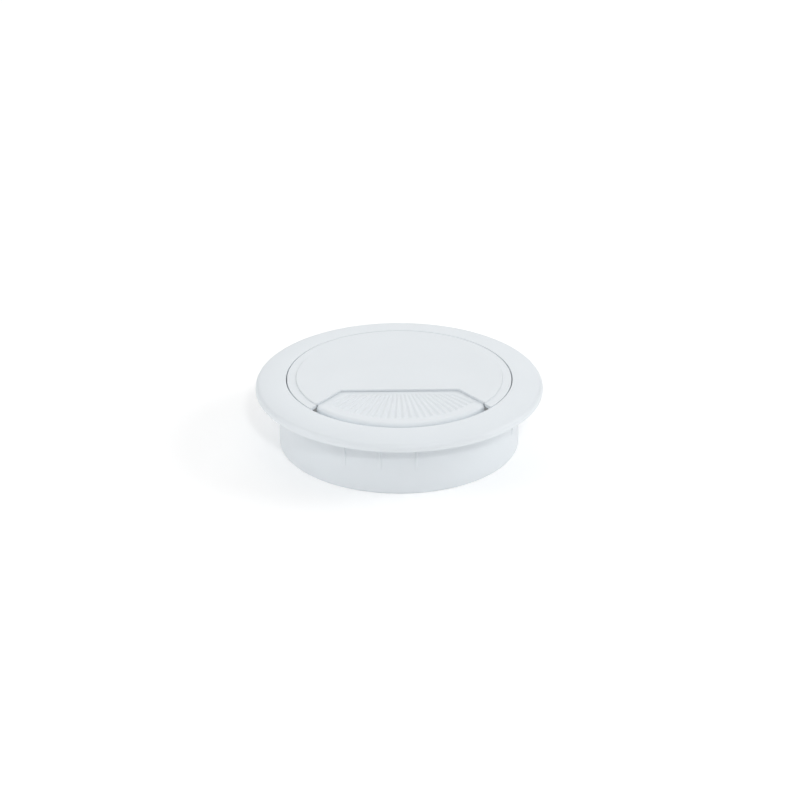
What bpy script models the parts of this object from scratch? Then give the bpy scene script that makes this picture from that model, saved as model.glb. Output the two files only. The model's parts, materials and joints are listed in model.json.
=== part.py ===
"""Desk grommet for an 80 mm hole: a flanged sleeve, a lid that turns and lifts out, and a sprung shutter.

The origin is the centre of the sleeve's bottom edge, +Z is up and the cable opening faces -Y.
Sizes below are in millimetres; MM turns them into Blender's metres.
"""

import math

import bmesh
import bpy
from mathutils import Matrix, Vector

MM = 0.001
SEGMENTS = 72  # facets round every large turned piece
GAP = 0.3  # left between pieces that touch or lie in one another
EDGE = 0.3  # rounding or chamfer of the small edges

# Flanged sleeve
SLEEVE_RADIUS = 39.8  # 79.6 mm across, for an 80 mm hole
BORE_RADIUS = 37.4
FLANGE_RADIUS = 47.5
CREST_Z = 22.6  # highest line of the flange, round the bore
SEAT_Z = 18.75  # flat land of the flange, which lies on the desk top
SEAT_INNER_RADIUS = 45.7
FLANGE_WALL = 1.75
DOME_START = 37.8  # the flange is level up to here and then falls away
DOME_RADIUS = 28.7
RIM_ROUND = 1.8
RIM_LEAN = math.radians(74)  # where the rim's rounding takes over from the dome
FILLET = 0.4  # between the flange's underside and the sleeve
LEDGE_TOP = 14.4
LEDGE_BOTTOM = 12.8
LEDGE_SLOPE = 1.4  # height of the slope below the ledge
LEDGE_RADIUS = 34.6

# Crush ribs on the outside of the sleeve; angles run from -Y towards +X
RIB_GROUPS = (-10.2, 84.2, 169.8, 264.2)  # the middle rib of each group of three
RIB_SPACING = 17.2
RIB_WIDTH = 0.9
RIB_HEIGHT = 0.5
RIB_TOP_Z = 21.2
RIB_TAPER_HEIGHT = 4.5
RIB_FOOT_Z = 7.8

# Lid
LID_RADIUS = 37.1
LID_TOP = 23.0
LID_BAND_TOP = 22.6  # the band outside the small step
LID_STEP_RADIUS = 34.0
LID_UNDERSIDE = 21.5
SKIRT_INNER_UPPER = 35.8
SKIRT_INNER_LOWER = 35.1
SKIRT_TAPER_BOTTOM = 18.0
SKIRT_TAPER_TOP = 18.7
SKIRT_BOTTOM = LEDGE_TOP + GAP
GROOVE_RADIUS = 36.1
GROOVE_BOTTOM = 15.8
GROOVE_TOP = 17.8

# Cable opening in the lid: a chord, and two sides that open outwards to the rim
CHORD_Y = -10.1
CHORD_HALF = 19.3
SIDE_ANGLE = math.radians(37.6)  # of each side from the Y axis
OPENING_FLOOR = 19.2  # the skirt carries on below the opening

# Shutter
TRAVEL = 16.0
PAD_TOP = 22.15
PAD_BOTTOM = 20.75
FRONT_RADIUS = 34.3
FRONT_ROUND = 1.3
LIP_BOTTOM = 19.5
STOP_RADIUS = 35.45  # the foot of the front edge, which meets the skirt when the shutter is closed
STOP_INNER_RADIUS = 33.6
STOP_BOTTOM = 18.75
SHUTTER_OVERLAP = 1.2  # hidden under the lid beside the opening
SHUTTER_REAR_Y = -8.1
WING_RADIUS = 33.4  # limit of the hidden wings, under the thick middle of the lid
PLATE_OVER_SHUTTER = PAD_TOP + 0.25  # underside of the thinned lid above the shutter
POCKET_RADIUS = 33.8
RIB_CENTRE_Y = 4.7  # the finger ribs fan out from this point
RIB_PITCH = 4.0  # degrees
FLUTE_REACH = 46  # degrees, the outermost flute
FLUTE_DEPTH = 0.3
FLUTE_START_Y = -12.0
FLUTE_END_RADIUS = 29.9
FLUTE_SIDE_INSET = 1.5

# Carriage of the shutter, and the keeper tray that it slides in
TRAY_HALF = 15.0
TRAY_WALL = 1.2
TRAY_BOTTOM = 16.1
TRAY_FLOOR = 17.3
TRAY_WALL_TOP = 19.9
TRAY_REAR_WALL_TOP = 20.9
TRAY_FRONT_Y = -8.0
TRAY_REAR_Y = 30.8
CARRIAGE_HALF = 13.3
CARRIAGE_FRONT_Y = -14.5
CARRIAGE_REAR_Y = 4.0
CARRIAGE_TOP = 21.2
CARRIAGE_BOTTOM = TRAY_FLOOR + GAP
CARRIAGE_WALL = 1.2
SLOT_HALF = 3.2
SLOT_FRONT_Y = 8.5
SLOT_REAR_Y = 26.0

# Springs and their pegs
SPRING_X = 7.5
SPRING_Z = 19.45
SPRING_RADIUS = 1.65
WIRE_RADIUS = 0.15
SPRING_TURNS = 14
PEG_RADIUS = 1.1
PEG_LENGTH = 3.0

# Screws and their bosses
SCREW_PLACES = ((26.5, 5.5), (18.5, 25.5), (-18.5, 25.5), (-26.5, 5.5))
BOSS_RADIUS = 2.4
BOSS_HOLE = 1.3
BOSS_HOLE_TOP = 21.4
WEB_THICKNESS = 1.0
WEB_DEPTH = 2.4
EAR_RADIUS = 3.2
EAR_HOLE = 1.4
SHANK_RADIUS = 1.0
HEAD_RADIUS = 2.1
HEAD_HEIGHT = 1.1

# Friction ring
RING_RADIUS = 36.7
RING_SECTION = 0.42


def clear_scene():
    for obj in list(bpy.data.objects):
        bpy.data.objects.remove(obj, do_unlink=True)


def new_collection(name):
    made = bpy.data.collections.new(name)
    bpy.context.scene.collection.children.link(made)
    return made


def make_material(name, colour, roughness, metallic=0.0):
    made = bpy.data.materials.new(name)
    made.use_nodes = True
    shader = made.node_tree.nodes["Principled BSDF"]
    shader.inputs["Base Color"].default_value = (*colour, 1.0)
    shader.inputs["Roughness"].default_value = roughness
    shader.inputs["Metallic"].default_value = metallic
    return made


clear_scene()
PARTS = new_collection("desk_grommet")
CUTTERS = new_collection("cutters")
CUTTERS.hide_render = True
WHITE = make_material("white_plastic", (0.80, 0.83, 0.84), 0.45)
NATURAL = make_material("keeper_plastic", (0.74, 0.77, 0.78), 0.5)
STEEL = make_material("zinc_steel", (0.62, 0.63, 0.64), 0.3, 1.0)
WIRE = make_material("spring_wire", (0.55, 0.56, 0.58), 0.25, 1.0)
RUBBER = make_material("ring_rubber", (0.35, 0.36, 0.37), 0.8)


# Points and meshes


def polar(radius, angle):
    """A point in the XY plane, with the angle in degrees from -Y towards +X."""
    turn = math.radians(angle)
    return (radius * math.sin(turn), -radius * math.cos(turn))


def arc(centre, radius, start, end, steps):
    """Points along an arc in a flat outline or profile, with angles in degrees from the first axis."""
    angles = [math.radians(start + (end - start) * i / steps) for i in range(steps + 1)]
    return [(centre[0] + radius * math.cos(a), centre[1] + radius * math.sin(a)) for a in angles]


def object_from(name, mesh, material=None, collection=None):
    obj = bpy.data.objects.new(name, mesh)
    (collection or PARTS).objects.link(obj)
    if material:
        mesh.materials.append(material)
    return obj


def object_from_bmesh(name, bm, material=None, collection=None):
    bmesh.ops.recalc_face_normals(bm, faces=bm.faces)
    mesh = bpy.data.meshes.new(name)
    bm.to_mesh(mesh)
    bm.free()
    return object_from(name, mesh, material, collection)


def turned(name, profile, segments=SEGMENTS, closed=True, material=None, collection=None):
    """A profile of (radius, height) points turned about Z. It runs down its outer side."""
    count = len(profile)
    edges = [(i, (i + 1) % count) for i in range(count if closed else count - 1)]
    mesh = bpy.data.meshes.new(name)
    mesh.from_pydata([(r * MM, 0.0, z * MM) for r, z in profile], edges, [])
    obj = object_from(name, mesh, material, collection)
    screw = obj.modifiers.new("Turn", "SCREW")
    screw.axis = "Z"
    screw.angle = math.tau
    screw.steps = screw.render_steps = segments
    screw.use_merge_vertices = True
    screw.merge_threshold = 1e-6
    screw.use_smooth_shade = True
    return obj


def outline_solid(name, points, bottom, top, material=None, collection=None):
    """A flat outline in the XY plane, filled and extruded from bottom to top, as a welded mesh."""
    curve = bpy.data.curves.new(name, "CURVE")
    curve.dimensions = "2D"
    curve.fill_mode = "BOTH"
    curve.extrude = (top - bottom) / 2 * MM
    spline = curve.splines.new("POLY")
    spline.points.add(len(points) - 1)
    for point, (x, y) in zip(spline.points, points):
        point.co = (x * MM, y * MM, 0.0, 1.0)
    spline.use_cyclic_u = True
    outline = bpy.data.objects.new(name + "_outline", curve)
    bpy.context.scene.collection.objects.link(outline)
    outline.location.z = (top + bottom) / 2 * MM
    bpy.context.view_layer.update()
    graph = bpy.context.evaluated_depsgraph_get()
    mesh = bpy.data.meshes.new_from_object(outline.evaluated_get(graph))
    mesh.transform(outline.matrix_world)
    bpy.data.objects.remove(outline, do_unlink=True)
    bm = bmesh.new()
    bm.from_mesh(mesh)
    bmesh.ops.remove_doubles(bm, verts=bm.verts, dist=1e-6)
    bpy.data.meshes.remove(mesh)
    return object_from_bmesh(name, bm, material, collection)


def add_box(bm, low, high):
    """A box between two corners, added to a mesh that is being built."""
    low, high = Vector(low) * MM, Vector(high) * MM
    place = Matrix.Translation((low + high) / 2) @ Matrix.Diagonal((*(high - low), 1.0))
    bmesh.ops.create_cube(bm, size=1.0, matrix=place)


def add_cylinder(bm, radius, start, end, segments=20):
    """A round bar from start to end, added to a mesh that is being built."""
    start, end = Vector(start) * MM, Vector(end) * MM
    along = end - start
    turn = along.to_track_quat("Z", "Y").to_matrix().to_4x4()
    bmesh.ops.create_cone(
        bm, cap_ends=True, segments=segments, radius1=radius * MM, radius2=radius * MM,
        depth=along.length, matrix=Matrix.Translation((start + end) / 2) @ turn,
    )


def grow(bm, face, along):
    """Extrudes one face into a solid by the vector along."""
    grown = bmesh.ops.extrude_face_region(bm, geom=[face], use_keep_orig=True)
    bmesh.ops.translate(bm, vec=along, verts=[v for v in grown["geom"] if isinstance(v, bmesh.types.BMVert)])


def combine(obj, other, operation):
    """Adds a Boolean modifier to obj, and makes the other object a hidden helper."""
    for collection in list(other.users_collection):
        collection.objects.unlink(other)
    CUTTERS.objects.link(other)
    other.hide_render = True
    other.display_type = "WIRE"
    boolean = obj.modifiers.new(other.name, "BOOLEAN")
    boolean.operation = operation
    boolean.object = other
    boolean.solver = "EXACT"


# Flanged sleeve


def dome_height(radius):
    return CREST_Z - max(0.0, radius - DOME_START) ** 2 / (2 * DOME_RADIUS)


def sleeve_profile():
    """Half of the sleeve's section, from the bore's top edge out over the flange and back up inside."""
    top_edge = arc((BORE_RADIUS + EDGE, CREST_Z - EDGE), EDGE, 180, 90, 2)
    rim_x = FLANGE_RADIUS - RIM_ROUND
    rim_start = rim_x + RIM_ROUND * math.cos(RIM_LEAN)
    rim_z = dome_height(rim_start) - RIM_ROUND * math.sin(RIM_LEAN)
    radii = [DOME_START + (rim_start - DOME_START) * i / 5 for i in range(1, 5)]
    domed = [(r, dome_height(r)) for r in radii]
    rim = arc((rim_x, rim_z), RIM_ROUND, math.degrees(RIM_LEAN), 0, 4)
    seat = [(FLANGE_RADIUS, SEAT_Z + EDGE), (FLANGE_RADIUS - EDGE, SEAT_Z), (SEAT_INNER_RADIUS, SEAT_Z)]
    fillet_radius = SLEEVE_RADIUS + FILLET
    radii = [SEAT_INNER_RADIUS + (fillet_radius - SEAT_INNER_RADIUS) * i / 3 for i in range(4)]
    under = [(r, dome_height(r) - FLANGE_WALL) for r in radii]
    outer = [(SLEEVE_RADIUS, under[-1][1] - FILLET), (SLEEVE_RADIUS, EDGE), (SLEEVE_RADIUS - EDGE, 0.0)]
    bottom = [(BORE_RADIUS + EDGE, 0.0), (BORE_RADIUS, EDGE), (BORE_RADIUS, LEDGE_BOTTOM - LEDGE_SLOPE)]
    ledge = [
        (LEDGE_RADIUS + EDGE, LEDGE_BOTTOM),
        (LEDGE_RADIUS, LEDGE_BOTTOM + EDGE),
        (LEDGE_RADIUS, LEDGE_TOP - EDGE),
        (LEDGE_RADIUS + EDGE, LEDGE_TOP),
        (BORE_RADIUS, LEDGE_TOP),
    ]
    return top_edge + domed + rim + seat + under + outer + bottom + ledge


def crush_ribs():
    """Thin upright ribs, in four groups of three, that fade out down the sleeve."""
    inside = SLEEVE_RADIUS - 0.6
    proud = SLEEVE_RADIUS + RIB_HEIGHT
    side = [(inside, RIB_TOP_Z), (proud, RIB_TOP_Z), (proud, RIB_FOOT_Z + RIB_TAPER_HEIGHT)]
    side += [(SLEEVE_RADIUS - 0.05, RIB_FOOT_Z), (inside, RIB_FOOT_Z)]
    half = Vector((0.0, RIB_WIDTH / 2 * MM, 0.0))
    bm = bmesh.new()
    for angle in [middle + step * RIB_SPACING for middle in RIB_GROUPS for step in (-1, 0, 1)]:
        turn = Matrix.Rotation(math.radians(angle - 90), 4, "Z")
        face = bm.faces.new([bm.verts.new(turn @ (Vector((r * MM, 0.0, z * MM)) - half)) for r, z in side])
        grow(bm, face, (turn @ half) * 2)
    return object_from_bmesh("crush_ribs", bm)


def make_sleeve():
    sleeve = turned("flanged_sleeve", sleeve_profile(), material=WHITE)
    combine(sleeve, crush_ribs(), "UNION")
    return sleeve


# Opening and shutter outlines


SIDE = Vector((math.sin(SIDE_ANGLE), -math.cos(SIDE_ANGLE)))  # along the right side, outwards
SIDE_NORMAL = Vector((math.cos(SIDE_ANGLE), math.sin(SIDE_ANGLE)))  # into the lid


def on_side(offset, along=None, radius=None, y=None):
    """A point on the opening's right side, moved into the lid by offset, at a distance, a radius or a Y."""
    start = Vector((CHORD_HALF, CHORD_Y)) + SIDE_NORMAL * offset
    if radius is not None:
        half = start.dot(SIDE)
        along = -half + math.sqrt(half * half - start.length_squared + radius * radius)
    if y is not None:
        along = (y - start.y) / SIDE.y
    return tuple(start + SIDE * along)


def mirrored(points):
    """The outline whose right half, from front to rear, is given."""
    return points + [(-x, y) for x, y in reversed(points)]


def opening_outline():
    return mirrored([(60.0, -60.0), on_side(0, along=40.0), (CHORD_HALF, CHORD_Y)])


def angle_at(x, radius):
    """The angle from -Y of the point on a circle at this X, in degrees."""
    return math.degrees(math.asin(x / radius))


def shutter_outline():
    """The shutter seen from above: sides just inside the opening, and wings hidden under the lid."""
    outside = STOP_RADIUS + 2.0
    front = [polar(outside, angle) for angle in range(5, 50, 5)]
    side = [on_side(-GAP, radius=outside), on_side(-GAP, radius=WING_RADIUS)]
    wing = on_side(SHUTTER_OVERLAP, radius=WING_RADIUS)
    rear = on_side(SHUTTER_OVERLAP, y=SHUTTER_REAR_Y)
    return mirrored(front + side + [wing, rear])


def pocket_outline():
    """Where the lid is thinned from below, so that the shutter passes under it over its whole travel."""
    clear = 0.45
    wing = on_side(SHUTTER_OVERLAP, radius=WING_RADIUS)
    rear = on_side(SHUTTER_OVERLAP, y=SHUTTER_REAR_Y)
    side_x = wing[0] + clear
    edge = [polar(POCKET_RADIUS, angle) for angle in (46.0, 48.5)]
    edge += [polar(POCKET_RADIUS, angle_at(side_x, POCKET_RADIUS))]
    return mirrored(edge + [(side_x, wing[1] + TRAVEL), (rear[0] + clear, rear[1] + TRAVEL + clear)])


# Lid


def lid_profile():
    step = [(LID_STEP_RADIUS - 0.5, LID_TOP), (LID_STEP_RADIUS - 0.2, LID_TOP - 0.04)]
    step += [(LID_STEP_RADIUS + 0.3, LID_BAND_TOP + 0.04), (LID_STEP_RADIUS + 0.6, LID_BAND_TOP)]
    edge = arc((LID_RADIUS - EDGE, LID_BAND_TOP - EDGE), EDGE, 90, 0, 2)
    groove = [
        (LID_RADIUS, GROOVE_TOP),
        (GROOVE_RADIUS, GROOVE_TOP),
        (GROOVE_RADIUS, GROOVE_BOTTOM),
        (LID_RADIUS, GROOVE_BOTTOM),
    ]
    foot = [(LID_RADIUS, SKIRT_BOTTOM + EDGE), (LID_RADIUS - EDGE, SKIRT_BOTTOM)]
    inside = [
        (SKIRT_INNER_LOWER, SKIRT_BOTTOM),
        (SKIRT_INNER_LOWER, SKIRT_TAPER_BOTTOM),
        (SKIRT_INNER_UPPER, SKIRT_TAPER_TOP),
        (SKIRT_INNER_UPPER, LID_UNDERSIDE),
    ]
    return [(0.0, LID_TOP)] + step + edge + groove + foot + inside + [(0.0, LID_UNDERSIDE)]


def lid_bosses():
    """Four screw bosses, each tied to the skirt by a web."""
    bm = bmesh.new()
    for x, y in SCREW_PLACES:
        add_cylinder(bm, BOSS_RADIUS, (x, y, TRAY_FLOOR + GAP), (x, y, LID_UNDERSIDE + 0.7))
    return object_from_bmesh("screw_bosses", bm)


def lid_webs():
    """Thin stiffening webs under the lid, from each boss out to the skirt."""
    bm = bmesh.new()
    far = SKIRT_INNER_UPPER + 0.4
    for x, y in SCREW_PLACES:
        out = math.hypot(x, y)
        place = Matrix.Rotation(math.atan2(y, x), 4, "Z")
        size = Matrix.Diagonal(((far - out) * MM, WEB_THICKNESS * MM, WEB_DEPTH * MM, 1.0))
        height = (LID_UNDERSIDE + GAP * 2 - WEB_DEPTH / 2) * MM
        middle = Matrix.Translation(((far + out) / 2 * MM, 0.0, height))
        bmesh.ops.create_cube(bm, size=1.0, matrix=place @ middle @ size)
    return object_from_bmesh("lid_webs", bm)


def boss_holes():
    bm = bmesh.new()
    for x, y in SCREW_PLACES:
        add_cylinder(bm, BOSS_HOLE, (x, y, TRAY_FLOOR - 1.0), (x, y, BOSS_HOLE_TOP), segments=16)
    return object_from_bmesh("boss_holes", bm)


def make_lid():
    lid = turned("turning_lid", lid_profile(), closed=False, material=WHITE)
    pocket = outline_solid("shutter_pocket", pocket_outline(), STOP_BOTTOM, PLATE_OVER_SHUTTER)
    combine(lid, pocket, "DIFFERENCE")
    opening = outline_solid("cable_opening", opening_outline(), OPENING_FLOOR, LID_TOP + 3.0)
    combine(lid, opening, "DIFFERENCE")
    combine(lid, lid_bosses(), "UNION")
    combine(lid, lid_webs(), "UNION")
    combine(lid, boss_holes(), "DIFFERENCE")
    return lid


# Shutter


def shutter_blank():
    """The pad with its rounded front edge and the stop below it, as a turned disc before it is trimmed."""
    front = arc((FRONT_RADIUS - FRONT_ROUND, PAD_TOP - FRONT_ROUND), FRONT_ROUND, 90, 0, 5)
    lip = [(FRONT_RADIUS, LIP_BOTTOM), (STOP_RADIUS, LIP_BOTTOM), (STOP_RADIUS, STOP_BOTTOM)]
    lip += [(STOP_INNER_RADIUS, STOP_BOTTOM), (STOP_INNER_RADIUS, PAD_BOTTOM)]
    return [(0.0, PAD_TOP)] + front + lip + [(0.0, PAD_BOTTOM)]


def flutes():
    """Shallow grooves that leave the fan of finger ribs standing between them."""
    bm = bmesh.new()
    centre = Vector((0.0, RIB_CENTRE_Y))
    inset_start = Vector((CHORD_HALF, CHORD_Y)) - SIDE_NORMAL * FLUTE_SIDE_INSET
    for step in range(-FLUTE_REACH, FLUTE_REACH + 1, int(RIB_PITCH)):
        turn = math.radians(step)
        ray = Vector((math.sin(turn), -math.cos(turn)))
        start = (RIB_CENTRE_Y - FLUTE_START_Y) / math.cos(turn)
        along = centre.dot(ray)
        end = -along + math.sqrt(along**2 - centre.length_squared + FLUTE_END_RADIUS**2)
        across = Vector((abs(ray.x), ray.y)).dot(SIDE_NORMAL)
        if across > 0:
            end = min(end, (inset_start - centre).dot(SIDE_NORMAL) / across)
        sideways = Vector((-ray.y, ray.x)) * math.tan(math.radians(RIB_PITCH / 4))
        corners = [centre + (ray - sideways) * start, centre + (ray - sideways) * end]
        corners += [centre + (ray + sideways) * end, centre + (ray + sideways) * start]
        floor = (PAD_TOP - FLUTE_DEPTH) * MM
        face = bm.faces.new([bm.verts.new((c.x * MM, c.y * MM, floor)) for c in corners])
        grow(bm, face, Vector((0.0, 0.0, 1.0 * MM)))
    return object_from_bmesh("flutes", bm)


def carriage():
    """The hollow block behind the pad, which slides in the keeper tray."""
    bm = bmesh.new()
    low = (-CARRIAGE_HALF, CARRIAGE_FRONT_Y, CARRIAGE_BOTTOM)
    add_box(bm, low, (CARRIAGE_HALF, CARRIAGE_REAR_Y, CARRIAGE_TOP))
    return object_from_bmesh("carriage", bm)


def carriage_hollow():
    inner = CARRIAGE_HALF - CARRIAGE_WALL
    bm = bmesh.new()
    low = (-inner, CARRIAGE_FRONT_Y + CARRIAGE_WALL, CARRIAGE_BOTTOM - 1.0)
    add_box(bm, low, (inner, CARRIAGE_REAR_Y - CARRIAGE_WALL, CARRIAGE_TOP - CARRIAGE_WALL))
    return object_from_bmesh("carriage_hollow", bm)


def spring_pegs(name, root_y, tip_y):
    bm = bmesh.new()
    for x in (-SPRING_X, SPRING_X):
        add_cylinder(bm, PEG_RADIUS, (x, root_y, SPRING_Z), (x, tip_y, SPRING_Z), segments=14)
    return object_from_bmesh(name, bm)


def make_shutter():
    shutter = turned("sliding_shutter", shutter_blank(), closed=False, material=WHITE)
    trim = outline_solid("shutter_outline", shutter_outline(), STOP_BOTTOM - 1.0, PAD_TOP + 1.0)
    combine(shutter, trim, "INTERSECT")
    combine(shutter, flutes(), "DIFFERENCE")
    combine(shutter, carriage(), "UNION")
    combine(shutter, carriage_hollow(), "DIFFERENCE")
    pegs = spring_pegs("shutter_pegs", CARRIAGE_REAR_Y - 0.6, CARRIAGE_REAR_Y + PEG_LENGTH)
    combine(shutter, pegs, "UNION")
    return shutter


# Keeper tray


def keeper_ears():
    """Arms from the tray's floor to the four bosses."""
    bm = bmesh.new()
    for x, y in SCREW_PLACES:
        inner = math.copysign(TRAY_HALF - 0.6, x)
        low = (min(x, inner), y - EAR_RADIUS, TRAY_BOTTOM)
        add_box(bm, low, (max(x, inner), y + EAR_RADIUS, TRAY_FLOOR))
    return object_from_bmesh("keeper_arms", bm)


def keeper_ear_ends():
    bm = bmesh.new()
    for x, y in SCREW_PLACES:
        add_cylinder(bm, EAR_RADIUS, (x, y, TRAY_BOTTOM), (x, y, TRAY_FLOOR), segments=24)
    return object_from_bmesh("keeper_ear_ends", bm)


def keeper_holes():
    bm = bmesh.new()
    for x, y in SCREW_PLACES:
        add_cylinder(bm, EAR_HOLE, (x, y, TRAY_BOTTOM - 1.0), (x, y, TRAY_FLOOR + 1.0), segments=16)
    return object_from_bmesh("keeper_holes", bm)


def keeper_tray():
    """A shallow tray: floor, two side walls that guide the carriage, and a rear wall for the springs."""
    inner = TRAY_HALF - TRAY_WALL
    bm = bmesh.new()
    add_box(bm, (-TRAY_HALF, TRAY_FRONT_Y, TRAY_BOTTOM), (TRAY_HALF, TRAY_REAR_Y, TRAY_REAR_WALL_TOP))
    tray = object_from_bmesh("shutter_keeper", bm, NATURAL)
    over = TRAY_REAR_WALL_TOP + 1.0
    bm = bmesh.new()
    add_box(bm, (-inner, TRAY_FRONT_Y - 1.0, TRAY_FLOOR), (inner, TRAY_REAR_Y - TRAY_WALL, over))
    combine(tray, object_from_bmesh("tray_hollow", bm), "DIFFERENCE")
    bm = bmesh.new()
    low = (-TRAY_HALF - 1.0, TRAY_FRONT_Y - 2.0, TRAY_WALL_TOP)
    add_box(bm, low, (TRAY_HALF + 1.0, TRAY_REAR_Y - TRAY_WALL, over + 1.0))
    combine(tray, object_from_bmesh("side_wall_relief", bm), "DIFFERENCE")
    return tray


def floor_slots():
    """A slot in the tray's floor below each spring, so that the springs can be seen and dust falls out."""
    bm = bmesh.new()
    for x in (-SPRING_X, SPRING_X):
        low = (x - SLOT_HALF, SLOT_FRONT_Y, TRAY_BOTTOM - 1.0)
        add_box(bm, low, (x + SLOT_HALF, SLOT_REAR_Y, TRAY_FLOOR + 1.0))
    return object_from_bmesh("floor_slots", bm)


def make_keeper():
    keeper = keeper_tray()
    combine(keeper, floor_slots(), "DIFFERENCE")
    combine(keeper, keeper_ears(), "UNION")
    combine(keeper, keeper_ear_ends(), "UNION")
    combine(keeper, keeper_holes(), "DIFFERENCE")
    face = TRAY_REAR_Y - TRAY_WALL
    combine(keeper, spring_pegs("keeper_pegs", face + 0.6, face - PEG_LENGTH), "UNION")
    return keeper


# Springs, screws and ring


def make_spring(name, x):
    """A compression spring along Y, with its end turns closed."""
    start = CARRIAGE_REAR_Y + GAP + WIRE_RADIUS
    end = TRAY_REAR_Y - TRAY_WALL - GAP - WIRE_RADIUS
    steps_a_turn = 10
    total = SPRING_TURNS * steps_a_turn
    closed = 1.5  # turns at each end that lie close together
    curve = bpy.data.curves.new(name, "CURVE")
    curve.dimensions = "3D"
    curve.bevel_depth = WIRE_RADIUS * MM
    curve.bevel_resolution = 1
    curve.use_fill_caps = True
    spline = curve.splines.new("POLY")
    spline.points.add(total)
    tight = 2.4 * WIRE_RADIUS  # pitch of a closed turn
    pitch = (end - start - 2 * closed * tight) / (SPRING_TURNS - 2 * closed)
    for i, point in enumerate(spline.points):
        turn = i / steps_a_turn
        y = start + tight * min(turn, closed)
        y += pitch * min(max(turn - closed, 0.0), SPRING_TURNS - 2 * closed)
        y += tight * max(turn - (SPRING_TURNS - closed), 0.0)
        angle = math.tau * turn
        across, up = SPRING_RADIUS * math.cos(angle), SPRING_RADIUS * math.sin(angle)
        point.co = ((x + across) * MM, y * MM, (SPRING_Z + up) * MM, 1.0)
    spring = bpy.data.objects.new(name, curve)
    PARTS.objects.link(spring)
    curve.materials.append(WIRE)
    return spring


def make_screw(name, place):
    """A pan-head screw, head down, with a cross recess in the head."""
    seat = TRAY_BOTTOM - GAP
    tip = BOSS_HOLE_TOP - GAP
    head = [(HEAD_RADIUS, seat), (HEAD_RADIUS, seat - 0.5), (HEAD_RADIUS - 0.5, seat - HEAD_HEIGHT + 0.1)]
    head += [(HEAD_RADIUS - 1.0, seat - HEAD_HEIGHT), (0.0, seat - HEAD_HEIGHT)]
    profile = [(0.0, tip), (0.3, tip), (SHANK_RADIUS, tip - 1.2), (SHANK_RADIUS, seat)] + head
    screw = turned(name, profile, segments=16, closed=False, material=STEEL)
    bm = bmesh.new()
    for long_x, long_y in ((1.1, 0.25), (0.25, 1.1)):
        low = (-long_x, -long_y, seat - HEAD_HEIGHT - 0.5)
        add_box(bm, low, (long_x, long_y, seat - HEAD_HEIGHT + 0.6))
    recess = object_from_bmesh(name + "_recess", bm)
    recess.parent = screw
    combine(screw, recess, "DIFFERENCE")
    screw.modifiers[-1].use_self = True
    screw.location = (place[0] * MM, place[1] * MM, 0.0)
    return screw


def make_friction_ring():
    bpy.ops.mesh.primitive_torus_add(
        major_segments=SEGMENTS, minor_segments=8, major_radius=RING_RADIUS * MM,
        minor_radius=RING_SECTION * MM, location=(0, 0, (GROOVE_BOTTOM + GROOVE_TOP) / 2 * MM),
    )
    ring = bpy.context.object
    ring.name = "friction_ring"
    ring.data.materials.append(RUBBER)
    for collection in list(ring.users_collection):
        collection.objects.unlink(ring)
    PARTS.objects.link(ring)
    return ring


make_sleeve()
make_lid()
make_shutter()
make_keeper()
make_spring("left_spring", -SPRING_X)
make_spring("right_spring", SPRING_X)
for number, spot in enumerate(SCREW_PLACES, start=1):
    make_screw(f"keeper_screw_{number}", spot)
make_friction_ring()
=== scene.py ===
"""Looks of the desk grommet: fine meshes, materials, a floor, soft light and the camera.

Sizes are in millimetres; MM turns them into Blender's metres. The object's own sizes come from the frame.
Angles round the object are in degrees from -Y, the side of the cable opening, towards +X.
"""

import json
import math
import bmesh
import bpy
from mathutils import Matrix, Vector


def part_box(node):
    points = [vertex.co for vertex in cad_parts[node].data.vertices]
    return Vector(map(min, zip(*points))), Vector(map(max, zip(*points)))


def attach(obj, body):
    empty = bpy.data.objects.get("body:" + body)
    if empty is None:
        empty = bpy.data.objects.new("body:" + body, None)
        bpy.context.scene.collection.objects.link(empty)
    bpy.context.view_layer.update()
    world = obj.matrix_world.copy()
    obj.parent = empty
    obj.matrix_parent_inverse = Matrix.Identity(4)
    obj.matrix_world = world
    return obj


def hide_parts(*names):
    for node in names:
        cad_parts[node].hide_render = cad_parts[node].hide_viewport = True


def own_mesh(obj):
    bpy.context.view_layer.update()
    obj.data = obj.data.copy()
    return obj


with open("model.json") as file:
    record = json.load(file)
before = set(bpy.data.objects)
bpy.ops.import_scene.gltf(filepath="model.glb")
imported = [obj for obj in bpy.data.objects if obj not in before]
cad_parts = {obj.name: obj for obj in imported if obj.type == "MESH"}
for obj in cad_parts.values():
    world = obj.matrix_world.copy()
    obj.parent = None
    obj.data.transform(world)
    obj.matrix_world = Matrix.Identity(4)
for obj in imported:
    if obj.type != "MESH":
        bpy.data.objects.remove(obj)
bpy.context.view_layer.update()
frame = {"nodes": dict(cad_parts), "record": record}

MM = 0.001


def span(node):
    """A CAD node's lowest and highest corner, in millimetres."""
    low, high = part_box(node)
    return Vector(low) / MM, Vector(high) / MM


SLEEVE_LOW, SLEEVE_HIGH = span("flanged_sleeve")
LID_LOW, LID_HIGH = span("turning_lid")
SHUTTER_LOW, SHUTTER_HIGH = span("sliding_shutter")
KEEPER_LOW, KEEPER_HIGH = span("shutter_keeper")
RING_LOW, RING_HIGH = span("friction_ring")
SPRING_LOW, SPRING_HIGH = span("right_spring")

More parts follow.
